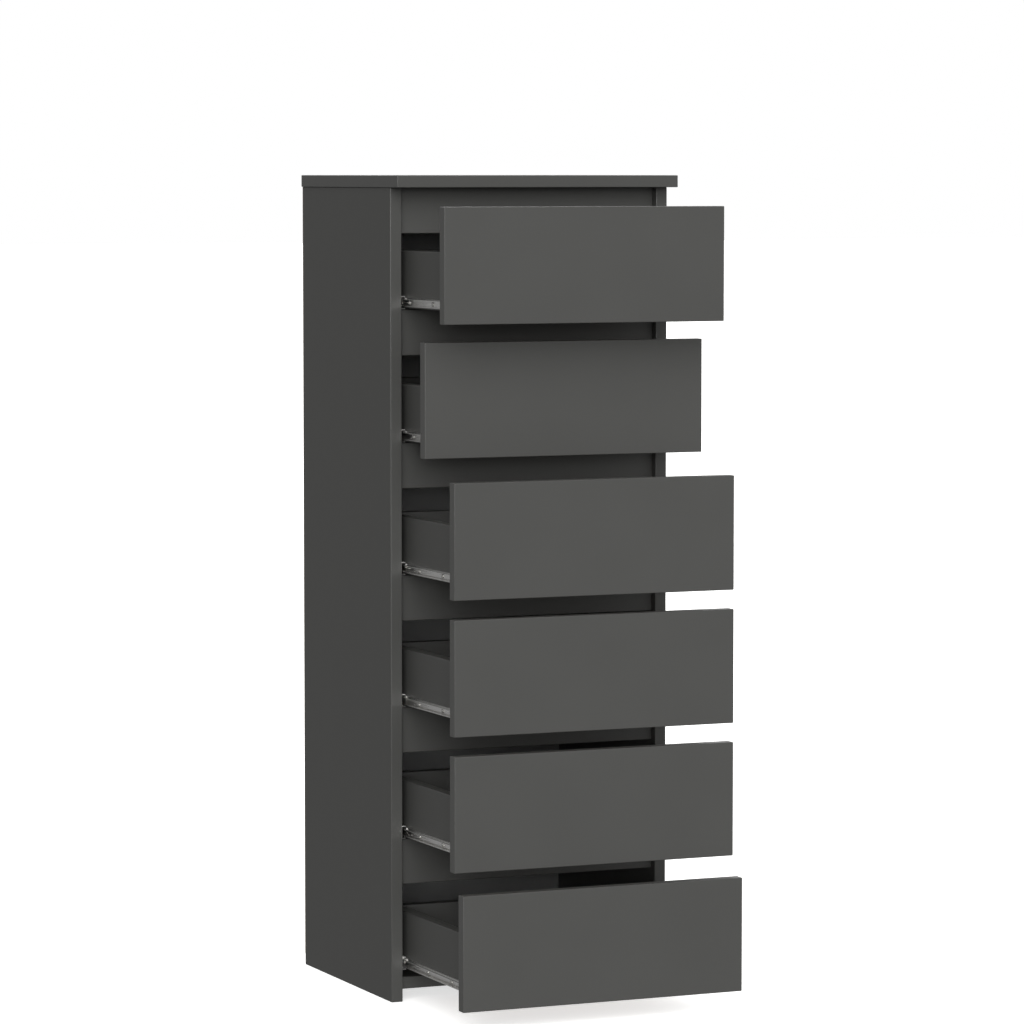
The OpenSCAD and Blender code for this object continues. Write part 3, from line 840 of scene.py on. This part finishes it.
class CHEST_OT_drawer_fronts(bpy.types.Operator):
    """Six overlay fronts, banded all round, with a groove behind for the drawer's bottom"""

    bl_idname = "chest.drawer_fronts"
    bl_label = "Drawer fronts"

    def execute(self, context):
        slack = context.scene.chest_details.groove_slack
        for body in DRAWERS:
            low, high = node_box(body + "_front")
            sheet_low, sheet_high = node_box(body + "_bottom")
            at = np.array([(low[X] + high[X]) / 2, high[Y], (sheet_low[Z] + sheet_high[Z] + slack) / 2])
            half_x = (sheet_high[X] - sheet_low[X]) / 2 + slack
            half_z = (sheet_high[Z] - sheet_low[Z] + slack) / 2
            groove = slot_pocket(at, axis_way(Y), half_z, half_x, high[Y] - sheet_low[Y] + slack)
            surface = Surface()
            add_board(surface, (low, high), Y, (), [groove])
            name = body + "_front_board"
            show(surface.piece(name, board_finishes()), body, "graphite_board", body + "_front")
        return {"FINISHED"}


def side_outline(box, sheet, details):
    """A box side's section, seen along +Y: a board on edge, with a groove for the bottom inside."""
    low, high = box
    way = inward(box)
    inner = high[X] if way > 0 else low[X]
    floor = (sheet[1][X] + details.groove_slack) if way < 0 else (sheet[0][X] - details.groove_slack)
    groove_low, groove_high = sheet[0][Z], sheet[1][Z] + details.groove_slack
    corners = [[low[Z], low[X]], [high[Z], low[X]], [high[Z], high[X]], [low[Z], high[X]]]
    slots = [FACE, BAND, FACE, BAND]
    radii = [details.board_arris] * 4
    notch = [[groove_low, inner], [groove_low, floor], [groove_high, floor], [groove_high, inner]]
    if way > 0:
        # The inner face is the third side, which runs down from the top edge
        corners[3:3] = notch[::-1]
        slots[3:3] = [RAW, RAW, RAW, FACE]
        radii[3:3] = [0] * 4
    else:
        # The inner face is the first side, which runs up from the lower edge
        corners[1:1] = notch
        slots[1:1] = [RAW, RAW, RAW, FACE]
        radii[1:1] = [0] * 4
    return Outline(corners, radii, slots, details.arris_steps)


def back_screw_pockets(fittings, box, details):
    """Countersinks for the screws that hold a drawer's back, in the outer face of a box side."""
    way = axis_way(X, -inward(box))
    outer = box[0][X] if way[X] < 0 else box[1][X]
    pockets = []
    for low, high in fittings:
        if is_back_screw((low, high)) and low[X] < box[1][X] and high[X] > box[0][X]:
            at = (low + high) / 2
            at[X] = outer
            radius = (high[Z] - low[Z]) / 2 + details.pocket_slack
            pockets.append(round_pocket(at, way, radius, BACK_HEAD["depth"], radius * BACK_HEAD["shank"]))
    return pockets


def spans(box):
    """A solid's three sizes, largest first."""
    return np.sort(box[1] - box[0])[::-1]


def is_back_screw(box):
    """The long screws at a drawer's back, which lie across the box."""
    return (box[1] - box[0])[X] > BACK_SCREW_LONGER


def is_runner_screw(box):
    """The short, thin screws of the runners."""
    return spans(box)[0] < RUNNER_SCREW_SHORTER and spans(box)[1] < RUNNER_SCREW_THINNER


def is_cam(box):
    """Cams are short, thick discs."""
    return spans(box)[2] > CAM_THICKER and spans(box)[0] < CAM_SMALLER


def is_dowel(box):
    """Dowels are rods, thicker than the bolts and thinner than the long screws' heads."""
    return DOWEL_THICK[0] < spans(box)[1] < DOWEL_THICK[1] and spans(box)[0] > DOWEL_LONGER


class CHEST_OT_drawer_boxes(bpy.types.Operator):
    """The two grooved sides and the back of each drawer's box"""

    bl_idname = "chest.drawer_boxes"
    bl_label = "Drawer boxes"

    def execute(self, context):
        details = context.scene.chest_details
        for body in DRAWERS:
            fittings = solids(body + "_fasteners")
            sheet = node_box(body + "_bottom")
            for side in ("left", "right"):
                node = f"{body}_side_{side}"
                box = node_box(node)
                pockets = cam_pockets(box, [f for f in fittings if is_cam(f)])
                pockets += back_screw_pockets(fittings, box, details)
                insets, depths = rounding(details.sheet_arris, 1)
                surface = Surface()
                surface.carried(
                    side_outline(box, sheet, details), Y, np.concatenate([insets[::-1], insets]),
                    np.concatenate([(box[0][Y] + depths)[::-1], box[1][Y] - depths]),
                    pockets, (RAW, RAW), BAND)
                show(surface.piece(node + "_board", board_finishes()), body, "graphite_board", node)
            surface = Surface()
            add_board(surface, node_box(body + "_back"), Y, [(X, -1), (X, 1), (Z, -1)])
            name = body + "_back_board"
            show(surface.piece(name, board_finishes()), body, "graphite_board", body + "_back")
        return {"FINISHED"}


class CHEST_OT_drawer_bottoms(bpy.types.Operator):
    """Hardboard bottoms, lacquered above and bare below"""

    bl_idname = "chest.drawer_bottoms"
    bl_label = "Drawer bottoms"

    def execute(self, context):
        for body in DRAWERS:
            surface = Surface()
            add_sheet(surface, node_box(body + "_bottom"), Z, (RAW, FACE))
            name = body + "_bottom_sheet"
            show(surface.piece(name, sheet_finishes()), body, "graphite_hardboard", body + "_bottom")
        return {"FINISHED"}


# ---- Fittings ----

def turned(surface, axis, sign, head_at, centre, profile, pockets=()):
    """A round piece carried along an axis: profile rows are (radius, distance ahead of the head's face)."""
    radii, ahead = np.array(profile).T
    widest = radii.max()
    places = head_at[axis] + sign * ahead
    order = slice(None) if sign > 0 else slice(None, None, -1)
    u, v = (axis + 1) % 3, (axis + 2) % 3
    outline = Circle([centre[u], centre[v]], widest, FACE, TURNED_CORNERS)
    surface.carried(outline, axis, (widest - radii)[order], places[order], pockets)


def driver_cross(at, way, reach, half_width, depth):
    """A cross-shaped recess that narrows towards its floor."""
    floor = cross_ring(at - depth * way, way, reach * CROSS_FLOOR_REACH, half_width * CROSS_FLOOR_WIDTH)
    return {"way": way, "mouth": cross_ring(at, way, reach, half_width), "floor": floor, "slot": FACE}


def add_cam(surface, box, details):
    """A cam: a disc with a softened rim, and a cross in its end for the screwdriver."""
    axis, sign = cam_way(box)
    way = axis_way(axis, sign)
    centre = (box[0] + box[1]) / 2
    radius = (box[1] - box[0]).max() / 2
    deep = (box[1] - box[0]).min()
    end = centre.copy()
    end[axis] = (box[1] if sign > 0 else box[0])[axis]
    end = end - details.cam_sink * way
    profile = [(radius - CAM_RIM, details.cam_sink - deep), (radius, details.cam_sink - deep + CAM_RIM),
               (radius, -CAM_RIM), (radius - CAM_RIM, 0)]
    cross = driver_cross(end, way, CAM_CROSS_REACH, CAM_CROSS_HALF_WIDTH, CAM_CROSS_DEPTH)
    turned(surface, axis, sign, end, centre, profile, [cross])


def add_screw(surface, box, sign, head, details):
    """A screw along X, from its point to its head, which lies at the end that sign points to."""
    low, high = box
    centre = (low + high) / 2
    way = axis_way(X, sign)
    radius = (high[Z] - low[Z]) / 2
    end = centre.copy()
    end[X] = high[X] if sign > 0 else low[X]
    long = high[X] - low[X]
    shank = radius * head["shank"]
    rows = [(shank * SCREW_TIP, -long), (shank, -long + 2 * shank), (shank, -head["depth"])]
    rows += [(radius * share, -head["depth"] * (1 - up)) for share, up in head["rows"]]
    depth = min(details.driver_depth, head["depth"] * SCREW_CROSS_DEPTH)
    cross = driver_cross(end, way, radius * SCREW_CROSS_REACH, radius * SCREW_CROSS_HALF_WIDTH, depth)
    turned(surface, X, sign, end, centre, rows, [cross])


class CHEST_OT_screws(bpy.types.Operator):
    """Runner screws with countersunk or pan heads, and the long screws of the drawers' backs"""

    bl_idname = "chest.screws"
    bl_label = "Screws"

    def execute(self, context):
        details = context.scene.chest_details
        surface = Surface()
        for box in solids("runner_screws"):
            add_screw(surface, box, inward(box), SUNK_HEAD, details)
        screws = surface.piece("side_runner_screws", [zinc_plated_screw()])
        show(screws, "carcass", "zinc_screw", "runner_screws")
        for body in DRAWERS:
            node = body + "_fasteners"
            surface = Surface()
            for box in solids(node):
                if is_back_screw(box):
                    add_screw(surface, box, -inward(box), BACK_HEAD, details)
                elif is_runner_screw(box):
                    add_screw(surface, box, -inward(box), PAN_HEAD, details)
            show(surface.piece(body + "_screws", [zinc_plated_screw()]), body, "zinc_screw", node)
        return {"FINISHED"}


class CHEST_OT_cams(bpy.types.Operator):
    """Die-cast cams with a driver's cross"""

    bl_idname = "chest.cams"
    bl_label = "Cams"

    def execute(self, context):
        details = context.scene.chest_details
        surface = Surface()
        for box in solids("cam_discs"):
            add_cam(surface, box, details)
        show(surface.piece("carcass_cams", [zinc_die_casting()]), "carcass", "zinc_casting", "cam_discs")
        for body in DRAWERS:
            surface = Surface()
            for box in solids(body + "_fasteners"):
                if is_cam(box):
                    add_cam(surface, box, details)
            show(surface.piece(body + "_cams", [zinc_die_casting()]), body, "zinc_casting")
        return {"FINISHED"}


class CHEST_OT_bolts_and_dowels(bpy.types.Operator):
    """Each drawer's cam bolts and beech dowels, and the finish of the carcass's own and of its nails"""

    bl_idname = "chest.bolts_and_dowels"
    bl_label = "Bolts, dowels and nails"

    def execute(self, context):
        refinish("cam_bolts", zinc_plated_screw())
        refinish("back_nails", zinc_plated_screw())
        refinish("dowels", turned_beech())
        for body in DRAWERS:
            bolts, dowels = Surface(), Surface()
            for box in solids(body + "_fasteners"):
                centre = (box[0] + box[1]) / 2
                radius = spans(box)[1] / 2
                long = spans(box)[0]
                end = np.array([centre[X], box[1][Y], centre[Z]])
                if is_dowel(box):
                    profile = [(radius - DOWEL_TIP, -long), (radius, DOWEL_TIP - long),
                               (radius, -DOWEL_TIP), (radius - DOWEL_TIP, 0)]
                    turned(dowels, Y, 1, end, centre, profile)
                elif not (is_cam(box) or is_back_screw(box) or is_runner_screw(box)):
                    waist = radius * BOLT_NECK_SHARE
                    under = -BOLT_NECK - BOLT_HEAD
                    profile = [(radius * BOLT_TIP_SHARE, -long), (radius, BOLT_TIP - long), (radius, under),
                               (waist, under), (waist, -BOLT_HEAD), (radius, -BOLT_HEAD), (radius, 0)]
                    turned(bolts, Y, 1, end, centre, profile)
            show(bolts.piece(body + "_cam_bolts", [zinc_plated_screw()]), body, "zinc_screw")
            show(dowels.piece(body + "_dowels", [turned_beech()]), body, "beech")
        return {"FINISHED"}


class CHEST_OT_runners(bpy.types.Operator):
    """The finish of the runner members and the ball cages"""

    bl_idname = "chest.runners"
    bl_label = "Runners"

    def execute(self, context):
        refinish("cabinet_runners", zinc_plated_strip())
        for body in DRAWERS:
            refinish(body + "_runners", zinc_plated_strip())
            refinish(body + "_ball_cages", zinc_plated_strip())
        return {"FINISHED"}


# ---- Stage ----

def add_sun(name, strength, spread, elevation, bearing):
    """A distant light: spread is its angle across, and bearing turns from the front to the left."""
    light = bpy.data.lights.new(name, "SUN")
    light.energy = strength
    light.angle = math.radians(spread)
    lamp = bpy.data.objects.new(name, light)
    lamp.rotation_euler = Euler((math.radians(90 - elevation), 0, -math.radians(bearing)))
    bpy.context.scene.collection.objects.link(lamp)


class CHEST_OT_stage(bpy.types.Operator):
    """A pale floor, light from the front, the right, behind and all round, and the camera"""

    bl_idname = "chest.stage"
    bl_label = "Stage"

    def execute(self, context):
        scene = context.scene
        stage = scene.chest_stage
        # From the floor's middle to its edges, in metres
        far = 60.0
        mesh = bpy.data.meshes.new("studio_floor")
        corners = far * np.array([[-1, -1, 0], [1, -1, 0], [1, 1, 0], [-1, 1, 0]])
        mesh.from_pydata(corners.tolist(), [], [(0, 1, 2, 3)])
        mesh.materials.append(opal_acrylic())
        floor = bpy.data.objects.new("studio_floor", mesh)
        scene.collection.objects.link(floor)

        # The floor shows to the camera and takes the shadow, and neither lights the chest nor shows in it
        floor.visible_diffuse = False
        floor.visible_glossy = False

        add_sun("key", stage.key, spread=56, elevation=31, bearing=23)
        add_sun("level", stage.level, spread=14, elevation=5, bearing=23)
        add_sun("fill", stage.fill, spread=60, elevation=25, bearing=-45)
        add_sun("side", stage.side, spread=50, elevation=25, bearing=-112)
        add_sun("rear", stage.rear, spread=30, elevation=42, bearing=195)

        world = bpy.data.worlds.new("studio")
        scene.world = world
        world.use_nodes = True
        tree = world.node_tree
        tree.nodes.clear()
        # The backdrop is white to the camera, and the light that it gives the chest is set apart from that
        ambient = add(tree, "Background", {"Color": (*stage.backdrop, 1), "Strength": stage.ambient})
        backdrop = add(tree, "Background", {"Color": (*stage.backdrop, 1), "Strength": 1.0})
        seen = add(tree, "LightPath").outputs["Is Camera Ray"]
        both = add(tree, "MixShader", {0: seen, 1: ambient.outputs[0], 2: backdrop.outputs[0]})
        add(tree, "OutputWorld", {"Surface": both.outputs[0]})

        scene.view_settings.view_transform = "Standard"
        scene.view_settings.look = "None"

        camera = bpy.data.objects.new("camera", bpy.data.cameras.new("camera"))
        camera.data.lens = stage.lens
        camera.data.clip_end = 2 * far
        aside, ahead = math.sin(stage.bearing), math.cos(stage.bearing)
        camera.location = (-stage.distance * aside, -stage.distance * ahead, stage.height)
        camera.rotation_euler = Euler((math.pi / 2 - stage.dip, 0, -stage.heading))
        scene.collection.objects.link(camera)
        scene.camera = camera
        return {"FINISHED"}


# ---- Panel and registration ----

OPERATORS = (
    CHEST_OT_side_panels, CHEST_OT_top_and_bottom, CHEST_OT_cross_rails, CHEST_OT_back_sheet,
    CHEST_OT_drawer_fronts, CHEST_OT_drawer_boxes, CHEST_OT_drawer_bottoms,
    CHEST_OT_runners, CHEST_OT_screws, CHEST_OT_cams, CHEST_OT_bolts_and_dowels,
    CHEST_OT_stage,
)


class CHEST_PT_panel(bpy.types.Panel):
    """Lists the chest's pieces and settings in the sidebar"""

    bl_label = "Chest of Drawers"
    bl_idname = "CHEST_PT_panel"
    bl_space_type = "VIEW_3D"
    bl_region_type = "UI"
    bl_category = "Chest"

    def draw(self, context):
        column = self.layout.column(align=True)
        for group in (context.scene.chest_finishes, context.scene.chest_details, context.scene.chest_stage):
            for name in group.__annotations__:
                column.prop(group, name)
        for operator in OPERATORS:
            column.operator(operator.bl_idname)


GROUPS = {"chest_finishes": ChestFinishes, "chest_details": ChestDetails, "chest_stage": ChestStage}


def register():
    """Registers the settings, the operators and the panel."""
    for name, group in GROUPS.items():
        bpy.utils.register_class(group)
        setattr(bpy.types.Scene, name, PointerProperty(type=group))
    for cls in (*OPERATORS, CHEST_PT_panel):
        bpy.utils.register_class(cls)


def unregister():
    """Takes them away again."""
    for cls in (CHEST_PT_panel, *reversed(OPERATORS)):
        bpy.utils.unregister_class(cls)
    for name, group in GROUPS.items():
        delattr(bpy.types.Scene, name)
        bpy.utils.unregister_class(group)


def main():
    """Builds the chest and its stage, and writes the two sizes."""
    register()
    for operator in OPERATORS:
        category, name = operator.bl_idname.split(".")
        getattr(getattr(bpy.ops, category), name)()
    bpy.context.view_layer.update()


if __name__ == "__main__":
    main()
